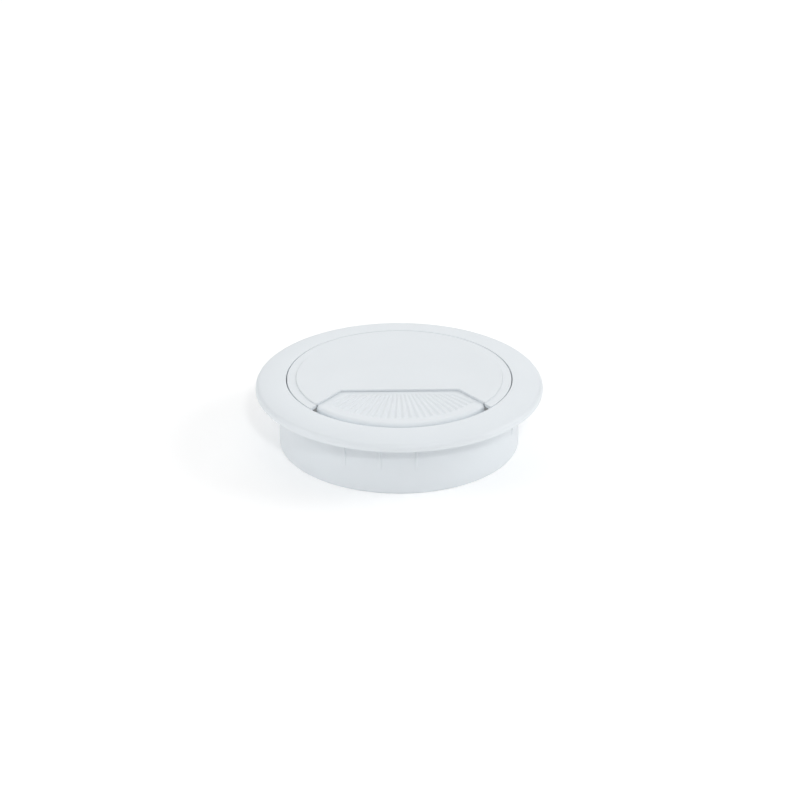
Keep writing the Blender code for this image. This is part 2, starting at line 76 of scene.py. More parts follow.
# Flanged sleeve
FLANGE_RADIUS = SLEEVE_HIGH.x
CREST_Z = SLEEVE_HIGH.z
SLEEVE_RADIUS = FLANGE_RADIUS - 7.7
BORE_RADIUS = LID_HIGH.x + 0.3
DOME_START = BORE_RADIUS + 0.4  # the flange is level up to here and then falls away
DOME_RADIUS = 28.7
RIM_ROUND = 1.8
RIM_LEAN = math.radians(74)  # where the rim's rounding takes over from the dome
SEAT_Z = CREST_Z - 3.85
SEAT_INNER_RADIUS = FLANGE_RADIUS - 1.8
FLANGE_WALL = 1.75
LEDGE_TOP = LID_LOW.z - 0.3
LEDGE_BOTTOM = LEDGE_TOP - 1.6
LEDGE_RADIUS = 34.6
FILLET = 0.5
FOOT_ROUND = 0.45

# Crush ribs on the sleeve
RIB_GROUPS = (-10.2, 84.2, 169.8, 264.2)  # the middle rib of each group of three
RIB_SPACING = 17.2
RIB_WIDTH = 0.9
RIB_HEIGHT = 0.5
RIB_TAPER_HEIGHT = 4.5
RIB_FOOT_Z = 7.8

# Lid
LID_RADIUS = LID_HIGH.x
LID_TOP = LID_HIGH.z
LID_STEP = 0.4
LID_STEP_RADIUS = 34.2
LID_BAND_TOP = LID_TOP - LID_STEP
PLATE_UNDERSIDE = SHUTTER_HIGH.z + 0.08
LID_UNDERSIDE = SHUTTER_HIGH.z - 0.65
BAND_INNER = 33.9  # the lid is thick outside this, and thin above the shutter inside it
SKIRT_INNER_UPPER = 35.8
SKIRT_INNER_LOWER = 35.1
GROOVE_RADIUS = 36.1
GROOVE_HALF = 1.0
OPENING_FLOOR = LID_LOW.z + 4.5  # the skirt carries on below the opening
CHORD_Y = -10.1
CHORD_HALF = 19.3
SIDE_ANGLE = math.radians(37.6)  # of each side of the opening from the Y axis
SIDE = Vector((math.sin(SIDE_ANGLE), -math.cos(SIDE_ANGLE)))  # along the right side, outwards
SIDE_NORMAL = Vector((math.cos(SIDE_ANGLE), math.sin(SIDE_ANGLE)))  # into the lid
SIDE_START = Vector((CHORD_HALF, CHORD_Y))

# Shutter
TRAVEL = frame["record"]["behaviour"]["joints"][2]["range_m"][1] / MM
PAD_TOP = SHUTTER_HIGH.z
PAD_BOTTOM = PAD_TOP - 1.4
LIP_BOTTOM = PAD_TOP - 2.65
STOP_BOTTOM = PAD_TOP - 3.4  # foot of the front edge, which meets the skirt when the shutter is closed
STOP_REACH = 1.15  # how far the foot stands out from the front edge
FRONT_RADIUS = 34.3
FRONT_ROUND = 1.3
PAD_REAR_Y = -8.1
WING_RADIUS = 33.4
PAD_OVERLAP = 1.2  # hidden under the lid beside the opening
SIDE_GAP = 0.3  # between the pad and the opening's sides near the rim
CORNER_BLEND = 0.25  # rounding between the pad's front and its sides
EDGE_ROUND = 0.25  # the pad's side edges
FAN_CENTRE = Vector((0.0, 4.7))  # the finger ribs fan out from this point
RIB_PITCH = 4.0  # degrees
PAD_SWEEP = 54.0  # degrees to each side that the pad is drawn over
FLUTE_REACH = 46.0  # degrees, the outermost flute
FLUTE_START = 11.9  # in front of the lid's axis
FLUTE_END_RADIUS = 30.2
FLUTE_DEPTH = 0.42
CARRIAGE_HALF = 13.3
CARRIAGE_FRONT_Y = -14.5
CARRIAGE_REAR_Y = 4.0
CARRIAGE_WALL = 1.2
CARRIAGE_DROP = 0.95  # from the pad's top to the carriage's

# Springs, pegs and screws
SPRING_X = (SPRING_LOW.x + SPRING_HIGH.x) / 2
SPRING_Z = (SPRING_LOW.z + SPRING_HIGH.z) / 2
SPRING_TURNS = 14
WIRE_RADIUS = 0.15
PEG_RADIUS = 1.1
PEG_LENGTH = 3.0
BOSS_RADIUS = 2.4
BOSS_HOLE = 1.3
HEAD_HEIGHT = 1.1

# Light and camera
SKY_HORIZON = 0.11  # strength of the world's light
SKY_TOP = 0.84
FLOOR_SIZE = 12.0  # metres
FLOOR_GLOW = 0.12  # the floor gives off a little light of its own
SOFTBOX_DISTANCE = 1.6  # metres
SOFTBOXES = (  # name, azimuth, elevation, size, power
    ("right", 92.0, 28.0, 0.8, 7.6),
    ("left", -80.0, 28.0, 0.8, 5.2),
    ("key", 8.0, 38.0, 0.14, 4.1),
    ("backdrop", 178.0, 24.0, 1.3, 4.4),
)
CAMERA_DISTANCE = 890.6
CAMERA_AZIMUTH = -1.2
CAMERA_ELEVATION = 25.4
CAMERA_LENS = 121.3
CAMERA_SHIFT = (0.0010, -0.03)


# Camera, floor and light


def direction(azimuth, elevation):
    """A unit vector from the object, with the azimuth from -Y towards +X."""
    turn, rise = math.radians(azimuth), math.radians(elevation)
    return Vector((math.sin(turn) * math.cos(rise), -math.cos(turn) * math.cos(rise), math.sin(rise)))


def add_camera():
    data = bpy.data.cameras.new("camera")
    data.lens = CAMERA_LENS
    data.sensor_width = 36.0
    data.shift_x, data.shift_y = CAMERA_SHIFT
    data.clip_end = 20.0
    camera = bpy.data.objects.new("camera", data)
    bpy.context.scene.collection.objects.link(camera)
    back = direction(CAMERA_AZIMUTH, CAMERA_ELEVATION)
    camera.location = Vector((0.0, 0.0, LID_TOP * MM)) + back * CAMERA_DISTANCE * MM
    camera.rotation_mode = "QUATERNION"
    camera.rotation_quaternion = (-back).to_track_quat("-Z", "Y")
    bpy.context.scene.camera = camera


def add_softbox(name, azimuth, elevation, size, power):
    """A square white area light that faces the object, with its size in metres and its power in watts."""
    data = bpy.data.lights.new(name, "AREA")
    data.shape = "SQUARE"
    data.size = size
    data.energy = power
    lamp = bpy.data.objects.new(name, data)
    bpy.context.scene.collection.objects.link(lamp)
    back = direction(azimuth, elevation)
    lamp.location = back * SOFTBOX_DISTANCE
    lamp.rotation_mode = "QUATERNION"
    lamp.rotation_quaternion = (-back).to_track_quat("-Z", "Y")


def add_studio():
    """A sky that brightens towards the top, and the softboxes."""
    world = bpy.data.worlds.new("studio")
    bpy.context.scene.world = world
    world.use_nodes = True
    tree = world.node_tree
    place = tree.nodes.new("ShaderNodeTexCoord")
    split = tree.nodes.new("ShaderNodeSeparateXYZ")
    rise = tree.nodes.new("ShaderNodeMapRange")
    rise.inputs["To Min"].default_value = SKY_HORIZON
    rise.inputs["To Max"].default_value = SKY_TOP
    tree.links.new(place.outputs["Generated"], split.inputs["Vector"])
    tree.links.new(split.outputs["Z"], rise.inputs["Value"])
    tree.links.new(rise.outputs["Result"], tree.nodes["Background"].inputs["Strength"])
    tree.nodes["Background"].inputs["Color"].default_value = (1.0, 1.0, 1.0, 1.0)
    for softbox in SOFTBOXES:
        add_softbox(*softbox)
    bpy.context.scene.view_settings.view_transform = "Standard"


def add_floor():
    bpy.ops.mesh.primitive_plane_add(size=FLOOR_SIZE, location=(0.0, 0.0, SLEEVE_LOW.z * MM))
    floor = bpy.context.object
    floor.name = "floor"
    material = bpy.data.materials.new("floor_white")
    material.use_nodes = True
    shader = material.node_tree.nodes["Principled BSDF"]
    shader.inputs["Base Color"].default_value = (0.98, 0.98, 0.98, 1.0)
    shader.inputs["Roughness"].default_value = 0.9
    shader.inputs["Emission Color"].default_value = (1.0, 1.0, 1.0, 1.0)
    shader.inputs["Emission Strength"].default_value = FLOOR_GLOW
    floor.data.materials.append(material)


# Materials


def add_node(tree, kind, **inputs):
    node = tree.nodes.new(kind)
    for name, value in inputs.items():
        node.inputs[name].default_value = value
    return node


def noise(tree, scale, detail, roughness=0.5):
    """A noise texture in the object's own space, with its scale in waves per metre."""
    place = tree.nodes.new("ShaderNodeTexCoord")
    texture = add_node(tree, "ShaderNodeTexNoise", Scale=scale, Detail=detail, Roughness=roughness)
    tree.links.new(place.outputs["Object"], texture.inputs["Vector"])
    return texture


def spread(tree, texture, low, high):
    """The texture's value stretched to run from low to high."""
    ramp = tree.nodes.new("ShaderNodeMapRange")
    ramp.inputs["From Min"].default_value = 0.3
    ramp.inputs["From Max"].default_value = 0.7
    ramp.inputs["To Min"].default_value = low
    ramp.inputs["To Max"].default_value = high
    tree.links.new(texture.outputs["Fac"], ramp.inputs["Value"])
    return ramp


def tint(tree, amount, dark, light):
    """A colour between dark and light, chosen by a value from 0 to 1."""
    mix = tree.nodes.new("ShaderNodeMix")
    mix.data_type = "RGBA"
    mix.inputs["A"].default_value = (*dark, 1.0)
    mix.inputs["B"].default_value = (*light, 1.0)
    tree.links.new(amount.outputs["Result"], mix.inputs["Factor"])
    return mix


def moulded_plastic(name, colour, roughness, translucency=0.0):
    """Fine satin moulding: soft clouding of the colour, uneven gloss and a spark-eroded grain."""
    material = bpy.data.materials.new(name)
    material.use_nodes = True
    tree = material.node_tree
    shader = tree.nodes["Principled BSDF"]
    shader.inputs["IOR"].default_value = 1.48
    shader.inputs["Subsurface Weight"].default_value = translucency
    shader.inputs["Subsurface Radius"].default_value = (1.0, 1.0, 1.0)
    shader.inputs["Subsurface Scale"].default_value = 0.002
    clouds = spread(tree, noise(tree, 55.0, 3.0), 0.0, 1.0)
    dark = tuple(channel * 0.985 for channel in colour)
    tree.links.new(tint(tree, clouds, dark, colour).outputs["Result"], shader.inputs["Base Color"])
    gloss = spread(tree, noise(tree, 140.0, 4.0), roughness - 0.035, roughness + 0.035)
    tree.links.new(gloss.outputs["Result"], shader.inputs["Roughness"])
    grain = noise(tree, 5200.0, 2.0, 0.6)
    ripple = noise(tree, 70.0, 1.0)
    fine = add_node(tree, "ShaderNodeBump", Strength=0.32, Distance=0.00001)
    broad = add_node(tree, "ShaderNodeBump", Strength=0.12, Distance=0.00008)
    tree.links.new(grain.outputs["Fac"], fine.inputs["Height"])
    tree.links.new(ripple.outputs["Fac"], broad.inputs["Height"])
    tree.links.new(broad.outputs["Normal"], fine.inputs["Normal"])
    tree.links.new(fine.outputs["Normal"], shader.inputs["Normal"])
    return material


def metal(name, dark, light, roughness, scale):
    """Plated or drawn steel: mottled colour, uneven gloss and fine draw marks."""
    material = bpy.data.materials.new(name)
    material.use_nodes = True
    tree = material.node_tree
    shader = tree.nodes["Principled BSDF"]
    shader.inputs["Metallic"].default_value = 1.0
    mottle = spread(tree, noise(tree, scale, 4.0), 0.0, 1.0)
    tree.links.new(tint(tree, mottle, dark, light).outputs["Result"], shader.inputs["Base Color"])
    gloss = spread(tree, noise(tree, scale * 3.0, 3.0), roughness - 0.08, roughness + 0.08)
    tree.links.new(gloss.outputs["Result"], shader.inputs["Roughness"])
    marks = noise(tree, scale * 6.0, 3.0)
    bump = add_node(tree, "ShaderNodeBump", Strength=0.25, Distance=0.00001)
    tree.links.new(marks.outputs["Fac"], bump.inputs["Height"])
    tree.links.new(bump.outputs["Normal"], shader.inputs["Normal"])
    return material


WHITE = moulded_plastic("white_plastic", (0.782, 0.822, 0.853), 0.42, 0.08)
NATURAL = moulded_plastic("keeper_plastic", (0.70, 0.735, 0.75), 0.5)
RUBBER = moulded_plastic("ring_rubber", (0.33, 0.34, 0.35), 0.75)
STEEL = metal("zinc_steel", (0.50, 0.52, 0.56), (0.68, 0.69, 0.70), 0.32, 900.0)
WIRE = metal("spring_wire", (0.42, 0.43, 0.45), (0.60, 0.60, 0.61), 0.28, 1500.0)


# Mesh building


def polar(radius, angle):
    turn = math.radians(angle)
    return (radius * math.sin(turn), -radius * math.cos(turn))


def arc(centre, radius, start, end, steps):
    """Points along an arc, with angles in degrees from the first axis."""
    angles = [math.radians(start + (end - start) * i / steps) for i in range(steps + 1)]
    return [(centre[0] + radius * math.cos(a), centre[1] + radius * math.sin(a)) for a in angles]


def between(start, end, steps):
    """Values from start to end in even steps, both included."""
    return [start + (end - start) * i / steps for i in range(steps + 1)]


def smooth(value):
    """0 below 0, 1 above 1, and an S-curve between."""
    value = min(max(value, 0.0), 1.0)
    return value * value * (3.0 - 2.0 * value)


def revolve(profile, angles, shift=None, whole=True):
    """A closed (radius, height) loop carried round Z through the angles, as (points, faces).

    shift(angle, radius, height) moves a point outwards. A part turn gets an end face at each end.
    """
    points, faces = [], []
    for angle in angles:
        for radius, height in profile:
            outwards = shift(angle, radius, height) if shift else 0.0
            points.append((*polar(radius + outwards, angle), height))
    size, turns = len(profile), len(angles)
    for i in range(turns if whole else turns - 1):
        here, there = i * size, (i + 1) % turns * size
        for j in range(size):
            after = (j + 1) % size
            faces.append((here + j, here + after, there + after, there + j))
    if not whole:
        faces.append(tuple(range(size)))
        faces.append(tuple(range((turns - 1) * size, turns * size)))
    return points, faces


def inset_outline(outline, amount, weight=None):
    """A closed outline, anticlockwise, moved inwards by amount, times each point's weight."""
    moved = []
    count = len(outline)
    for i, here in enumerate(outline):
        before = (Vector(here) - Vector(outline[i - 1])).normalized()
        after = (Vector(outline[(i + 1) % count]) - Vector(here)).normalized()
        first, second = Vector((-before.y, before.x)), Vector((-after.y, after.x))
        mitre = (first + second) / (1.0 + first.dot(second))
        share = weight(here) if weight else 1.0
        moved.append(Vector(here) + mitre * amount * share)
    return moved


def loft(size, rings):
    """Faces between rings of points that follow one another, with a cap at each end."""
    faces = []
    for i in range(rings - 1):
        for j in range(size):
            after = (j + 1) % size
            faces.append((i * size + j, i * size + after, (i + 1) * size + after, (i + 1) * size + j))
    faces.append(tuple(range(size)))
    faces.append(tuple(range((rings - 1) * size, rings * size)))
    return faces


def slab(outline, layers, weight=None):
    """An outline carried through layers of (inset, height) and closed at both ends, as (points, faces)."""
    points = []
    for inset, height in layers:
        points += [(p.x, p.y, height) for p in inset_outline(outline, inset, weight)]
    return points, loft(len(outline), len(layers))


def rounded_top(bottom, top, radius, steps):
    """Layers of a slab with a rounded upper edge."""
    layers = [(0.1, bottom), (0.0, bottom)]
    for turn in between(0.0, 90.0, steps):
        angle = math.radians(turn)
        layers.append((radius * (1.0 - math.cos(angle)), top - radius * (1.0 - math.sin(angle))))
    layers.append((radius + 0.06, top))
    return layers


def round_corners(outline, reach, steps=6, least=25.0):
    """Each corner sharper than the least angle becomes a curve that starts reach(corner) away from it."""
    count = len(outline)
    result = []
    skip = set()
    corners = {}
    for i, here in enumerate(outline):
        before = Vector(here) - Vector(outline[i - 1])
        after = Vector(outline[(i + 1) % count]) - Vector(here)
        if math.degrees(before.angle(after)) > least:
            corners[i] = [walk(outline, i, step, reach(here), skip) for step in (-1, 1)]
    for i, here in enumerate(outline):
        if i in corners:
            start, end = corners[i]
            for t in between(0.0, 1.0, steps):
                result.append(start * (1 - t) ** 2 + Vector(here) * 2 * t * (1 - t) + end * t * t)
        elif i not in skip:
            result.append(Vector(here))
    return result


def walk(outline, start, step, distance, passed):
    """The point at a distance along the outline from a corner; the points on the way are added to passed."""
    here = Vector(outline[start])
    index = start
    while True:
        index = (index + step) % len(outline)
        ahead = Vector(outline[index])
        length = (ahead - here).length
        if length > distance:
            return here + (ahead - here) * (distance / length)
        distance -= length
        passed.add(index)
        here = ahead


def piece(name, shells, material, body, *nodes, slot, sharp=32.0):
    """One visible piece from closed shells, which rides on a body and stands for CAD nodes."""
    mesh = bpy.data.meshes.new(name)
    points, faces = [], []
    for shell_points, shell_faces in shells:
        base = len(points)
        points += [Vector(p) * MM for p in shell_points]
        faces += [tuple(base + i for i in face) for face in shell_faces]
    mesh.from_pydata(points, [], faces)
    bm = bmesh.new()
    bm.from_mesh(mesh)
    bmesh.ops.recalc_face_normals(bm, faces=bm.faces)
    bm.to_mesh(mesh)
    bm.free()
    mesh.shade_smooth()
    mesh.set_sharp_from_angle(angle=math.radians(sharp))
    mesh.materials.append(material)
    obj = bpy.data.objects.new(name, mesh)
    bpy.context.scene.collection.objects.link(obj)
    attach(obj, body)
    if nodes:
        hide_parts(*nodes)
    return obj


# Flanged sleeve


def rib_places():
    """The angle of every crush rib."""
    return [middle + step * RIB_SPACING for middle in RIB_GROUPS for step in (-1, 0, 1)]


def rib_lift(angle, radius, height):
    """How far a crush rib lifts this point of the sleeve's outer wall."""
    if abs(radius - SLEEVE_RADIUS) > 0.01 or height > SEAT_Z + 2.3:
        return 0.0
    lift = 0.0
    for place in rib_places():
        away = abs((angle - place + 180.0) % 360.0 - 180.0)
        across = math.radians(away) * SLEEVE_RADIUS / (RIB_WIDTH / 2)
        if across < 1.6:
            tall = min(max((height - RIB_FOOT_Z) / RIB_TAPER_HEIGHT, 0.0), 1.0)
            lift = max(lift, RIB_HEIGHT * tall * (1.0 - smooth((across - 0.75) / 0.35)))
    return lift


def sleeve_angles():
    """Even steps, with closer ones across each crush rib."""
    across = math.degrees(RIB_WIDTH / 2 / SLEEVE_RADIUS)
    angles = {round(i * 1.5, 4) for i in range(240)}
    for place in rib_places():
        near = [(place + across * step / 6) % 360.0 for step in range(-9, 10)]
        angles = {a for a in angles if abs((a - place + 180.0) % 360.0 - 180.0) > across * 2.1}
        angles |= {round(a, 4) for a in near}
    return sorted(angles)


def dome_height(radius):
    return CREST_Z - max(0.0, radius - DOME_START) ** 2 / (2 * DOME_RADIUS)


def sleeve_profile():
    edge = 0.2
    small = 0.35
    rim_x = FLANGE_RADIUS - RIM_ROUND
    rim_start = rim_x + RIM_ROUND * math.cos(RIM_LEAN)
    rim_z = dome_height(rim_start) - RIM_ROUND * math.sin(RIM_LEAN)
    points = arc((BORE_RADIUS + edge, CREST_Z - edge), edge, 180, 90, 6)
    points += [(r, dome_height(r)) for r in between(DOME_START + 0.15, rim_start, 22)[:-1]]
    points += arc((rim_x, rim_z), RIM_ROUND, math.degrees(RIM_LEAN), 0, 12)
    points += arc((FLANGE_RADIUS - small, SEAT_Z + small), small, 0, -90, 5)
    points += [(FLANGE_RADIUS - small - 0.1, SEAT_Z)]
    points += [(SEAT_INNER_RADIUS + 0.15, SEAT_Z), (SEAT_INNER_RADIUS, SEAT_Z + 0.15)]
    points += [(SEAT_INNER_RADIUS, SEAT_Z + 0.75)]
    inwards = between(SEAT_INNER_RADIUS - 0.7, SLEEVE_RADIUS + FILLET + 0.4, 8)
    points += [(r, dome_height(r) - FLANGE_WALL) for r in inwards]
    fillet_z = dome_height(SLEEVE_RADIUS + FILLET) - FLANGE_WALL - FILLET
    points += arc((SLEEVE_RADIUS + FILLET, fillet_z), FILLET, 90, 180, 4)[1:]
    points += [(SLEEVE_RADIUS, z) for z in between(SEAT_Z + 1.0, 1.0, 36)]
    points += arc((SLEEVE_RADIUS - FOOT_ROUND, FOOT_ROUND), FOOT_ROUND, 0, -90, 5)
    points += [(BORE_RADIUS + 0.4, 0.0)]
    points += arc((BORE_RADIUS + 0.3, 0.3), 0.3, -90, -180, 3)
    points += [(BORE_RADIUS, 1.0), (BORE_RADIUS, LEDGE_BOTTOM - 1.5), (BORE_RADIUS - 0.1, LEDGE_BOTTOM - 1.3)]
    points += [(LEDGE_RADIUS + 0.5, LEDGE_BOTTOM - 0.05)]
    points += arc((LEDGE_RADIUS + 0.3, LEDGE_BOTTOM + 0.3), 0.3, -90, -180, 3)
    points += arc((LEDGE_RADIUS + 0.3, LEDGE_TOP - 0.3), 0.3, 180, 90, 3)
    points += [(LEDGE_RADIUS + 0.5, LEDGE_TOP), (BORE_RADIUS - 0.3, LEDGE_TOP)]
    points += [(BORE_RADIUS - 0.08, LEDGE_TOP + 0.08), (BORE_RADIUS, LEDGE_TOP + 0.3)]
    points += [(BORE_RADIUS, CREST_Z - 1.2)]
    return points


def make_sleeve():
    shell = revolve(sleeve_profile(), sleeve_angles(), rib_lift)
    piece("sleeve_moulding", [shell], WHITE, "sleeve", "flanged_sleeve", slot="white_plastic", sharp=40.0)


# Lid


def side_point(offset, radius):
    """Where the opening's right side, moved into the lid by offset, crosses a circle."""
    start = SIDE_START + SIDE_NORMAL * offset
    half = start.dot(SIDE)
    along = -half + math.sqrt(half * half - start.length_squared + radius * radius)
    return start + SIDE * along


def lid_outline(radius):
    """The lid's outline at a radius, with the cable opening cut out of its front."""
    corner = side_point(0.0, radius)
    start = math.degrees(math.atan2(corner.x, -corner.y))
    rim = [Vector(polar(radius, a)) for a in between(start, 360.0 - start, 220)]
    opening = [Vector((-CHORD_HALF, CHORD_Y)), SIDE_START]
    return round_corners(rim + opening, lambda corner: 1.2 if corner.length > 30.0 else 0.6)


def step_weight(point):
    """1 round the raised middle's own edge, and less along the cable opening, whose edges are crisper."""
    return 0.35 + 0.65 * smooth((Vector(point).length - LID_STEP_RADIUS + 1.2) / 1.2)


def band_outline():
    """The flat ring outside the raised middle, ending at the opening's sides."""
    outline = []
    for radius in (LID_RADIUS, BAND_INNER):
        end = side_point(0.0, radius)
        start = math.degrees(math.atan2(end.x, -end.y))
        turn = between(start, 360.0 - start, 220)
        outline += [Vector(polar(radius, a)) for a in (turn if radius == LID_RADIUS else reversed(turn))]
    return round_corners(outline, lambda corner: 0.5 if corner.length > BAND_INNER + 1.0 else 0.2)


def band_weight(point):
    """1 at the lid's rim, and 0 at the ring's inner edge."""
    return smooth((Vector(point).length - BAND_INNER - 0.5) / 2.0)


def lid_bosses():
    shells = []
    for number in range(1, 5):
        low, high = span(f"keeper_screw_{number}")
        x, y = (low.x + high.x) / 2, (low.y + high.y) / 2
        circle = [Vector((x + BOSS_RADIUS * math.cos(a), y + BOSS_RADIUS * math.sin(a)))
                  for a in between(0.0, math.tau, 40)[:-1]]
        hole = BOSS_RADIUS - BOSS_HOLE
        bottom = KEEPER_LOW.z + 1.5
        layers = [(hole, LID_UNDERSIDE - 0.1), (hole, bottom + 0.2), (hole - 0.2, bottom), (0.2, bottom)]
        layers += [(0.0, bottom + 0.2), (0.0, LID_UNDERSIDE - 0.6), (-0.15, LID_UNDERSIDE - 0.25)]
        layers += [(-0.5, LID_UNDERSIDE), (-0.5, LID_UNDERSIDE + 0.3)]
        shells.append(slab(circle, layers))
        shells.append(lid_web(x, y))
    return shells


def lid_web(x, y):
    """A stiffening web from a boss out to the skirt."""
    out = Vector((x, y)).normalized()
    across = Vector((-out.y, out.x)) * 0.5
    near, far = out * (Vector((x, y)).length + 1.8), out * (SKIRT_INNER_UPPER + 0.3)
    outline = [near - across, far - across, far + across, near + across]
    layers = [(0.12, LID_UNDERSIDE - 1.8), (0.0, LID_UNDERSIDE - 1.68), (0.0, LID_UNDERSIDE + 0.3)]
    return slab(outline, layers)


def lid_underplate():
    """The thicker part of the lid, behind the space that the shutter slides in."""
    limit = BAND_INNER + 0.3
    clear = 0.45
    wing = side_point(PAD_OVERLAP, WING_RADIUS)
    side_x, wing_y = wing.x + clear, wing.y + TRAVEL
    side = SIDE_START + SIDE_NORMAL * PAD_OVERLAP
    rear_x = side.x + (PAD_REAR_Y - side.y) / SIDE.y * SIDE.x + clear
    rear_y = PAD_REAR_Y + TRAVEL + clear
    front = math.degrees(math.asin(side_x / limit))
    rim = [Vector(polar(limit, a)) for a in between(front, 360.0 - front, 160)]
    inner = [(-side_x, wing_y), (-rear_x, rear_y), (rear_x, rear_y), (side_x, wing_y)]
    outline = rim + [Vector(p) for p in inner]
    return slab(outline, [(0.15, LID_UNDERSIDE), (0.0, LID_UNDERSIDE + 0.12), (0.0, PLATE_UNDERSIDE + 0.15)])


def lid_skirt():
    """The whole ring at the foot with its groove, and the part above it beside and behind the opening."""
    groove = (RING_LOW.z + RING_HIGH.z) / 2
    foot = arc((LID_RADIUS - 0.3, LID_LOW.z + 0.3), 0.3, 0, -90, 4)
    low = [(LID_RADIUS, OPENING_FLOOR - 0.15), (LID_RADIUS, groove + GROOVE_HALF + 0.1)]
    low += [(LID_RADIUS - 0.1, groove + GROOVE_HALF), (GROOVE_RADIUS + 0.1, groove + GROOVE_HALF)]
    low += [(GROOVE_RADIUS, groove + GROOVE_HALF - 0.1), (GROOVE_RADIUS, groove - GROOVE_HALF + 0.1)]
    low += [(GROOVE_RADIUS + 0.1, groove - GROOVE_HALF), (LID_RADIUS - 0.1, groove - GROOVE_HALF)]
    low += [(LID_RADIUS, groove - GROOVE_HALF - 0.1)]
    low += foot + [(SKIRT_INNER_LOWER + 0.2, LID_LOW.z), (SKIRT_INNER_LOWER, LID_LOW.z + 0.2)]
    low += [(SKIRT_INNER_LOWER, LID_LOW.z + 3.3), (SKIRT_INNER_UPPER, LID_LOW.z + 4.0)]
    low += [(SKIRT_INNER_UPPER, OPENING_FLOOR - 0.15)]
    low += [(SKIRT_INNER_UPPER + 0.15, OPENING_FLOOR), (LID_RADIUS - 0.15, OPENING_FLOOR)]
    edge = side_point(0.0, LID_RADIUS)
    front = math.degrees(math.atan2(edge.x, -edge.y)) + 0.6
    outer = LID_RADIUS - 0.02
    high = [(outer, LID_BAND_TOP - 0.5), (outer, OPENING_FLOOR - 0.3)]
    high += [(SKIRT_INNER_UPPER + 0.02, OPENING_FLOOR - 0.3), (SKIRT_INNER_UPPER + 0.02, LID_BAND_TOP - 0.5)]
    whole = revolve(low, between(0.0, 358.5, 239))
    upper = revolve(high, between(front, 360.0 - front, 200), whole=False)
    return [whole, upper]


def make_lid():
    plate = rounded_top(PLATE_UNDERSIDE, LID_TOP, LID_STEP, 6)
    band = rounded_top(LID_UNDERSIDE, LID_BAND_TOP, 0.2, 5)
    shells = [slab(lid_outline(LID_STEP_RADIUS), plate, step_weight)]
    shells += [slab(band_outline(), band, band_weight), lid_underplate()]
    shells += lid_skirt() + lid_bosses()
    piece("lid_moulding", shells, WHITE, "lid", "turning_lid", slot="white_plastic")


# Shutter


def fan_ray(angle):
    turn = math.radians(angle)
    return Vector((math.sin(turn), -math.cos(turn)))


def to_circle(ray, radius):
    """The distance from the fan's centre along a ray to a circle about the lid's axis."""
    half = FAN_CENTRE.dot(ray)
    return -half + math.sqrt(half * half - FAN_CENTRE.length_squared + radius * radius)


def to_side(ray, offset):
    """The distance along a ray to the opening's side, moved into the lid by offset."""
    across = Vector((abs(ray.x), ray.y)).dot(SIDE_NORMAL)
    gap = offset - (FAN_CENTRE - SIDE_START).dot(SIDE_NORMAL)
    return gap / across if across > 0.02 else 1000.0


def pad_edge(ray):
    """(distance to the pad's edge, share of the rounded front there). The corner between is blended round.

    The sides lie just inside the opening near the rim, and reach under the lid further in.
    """
    wing = min(to_side(ray, PAD_OVERLAP), to_circle(ray, WING_RADIUS))
    limits = [to_circle(ray, FRONT_RADIUS), max(to_side(ray, -SIDE_GAP), wing)]
    nearest = min(limits)
    shares = [math.exp((nearest - limit) / CORNER_BLEND) for limit in limits]
    return nearest - CORNER_BLEND * math.log(sum(shares)), shares[0] / sum(shares)


def flute_depth(angle, ray, along):
    """How deep the pad's surface lies in a flute at this distance from the fan's centre."""
    place = FAN_CENTRE + ray * along
    wave = 0.5 + 0.5 * math.cos(math.tau * angle / RIB_PITCH)
    start = smooth((-place.y - FLUTE_START) / 0.7)
    end = smooth((FLUTE_END_RADIUS - place.length) / 0.9)
    side = smooth((to_side(ray, -1.3) - along) / 1.0) * smooth((FLUTE_REACH - abs(angle)) / 0.6)
    growth = min(along / 34.0, 1.0)
    return FLUTE_DEPTH * growth * wave * start * end * side


def pad_column(angle):
    """The pad's section along one ray from the fan's centre, as (distance, height)."""
    ray = fan_ray(angle)
    rear = (FAN_CENTRE.y - PAD_REAR_Y) / math.cos(math.radians(angle))
    edge, share = pad_edge(ray)
    edge = max(edge, rear + 0.6)
    drop = EDGE_ROUND + (FRONT_ROUND - EDGE_ROUND) * share
    round_off = min(drop, (edge - rear) * 0.4)
    flat_end = edge - round_off
    section = [(rear, PAD_BOTTOM), (rear, PAD_TOP - 0.2), (rear + 0.15, PAD_TOP)]
    start = rear + 0.3
    for step in range(61):
        along = start + (flat_end - start) * step / 60
        section.append((along, PAD_TOP - flute_depth(angle, ray, along)))
    for turn in between(0.0, 90.0, 9)[1:]:
        rise = math.radians(turn)
        section.append((flat_end + round_off * math.sin(rise), PAD_TOP - drop * (1.0 - math.cos(rise))))
    front = smooth(share)
    lip = PAD_BOTTOM - (PAD_BOTTOM - LIP_BOTTOM) * front
    stop = PAD_BOTTOM - (PAD_BOTTOM - STOP_BOTTOM) * front - 0.04
    reach = STOP_REACH * front
    unit = min(1.0, (edge - rear) * 0.3)  # keeps the foot narrow where the pad is narrow
    section += [(edge, lip + 0.1), (edge + 0.1 * front, lip + 0.01), (edge + reach * 0.85, lip)]
    section += [(edge + reach, lip - 0.1 * front - 0.01), (edge + reach, stop + 0.02)]
    section += [(edge + reach * 0.85, stop)]
    section += [(edge - 0.6 * unit, stop), (edge - 0.7 * unit, stop + 0.02)]
    section += [(edge - 0.7 * unit, PAD_BOTTOM)]
    return ray, section


def shutter_pad():
    points = []
    angles = between(-PAD_SWEEP, PAD_SWEEP, 432)
    for angle in angles:
        ray, section = pad_column(angle)
        for along, height in section:
            place = FAN_CENTRE + ray * along
            points.append((place.x, place.y, height))
    return points, loft(len(section), len(angles))


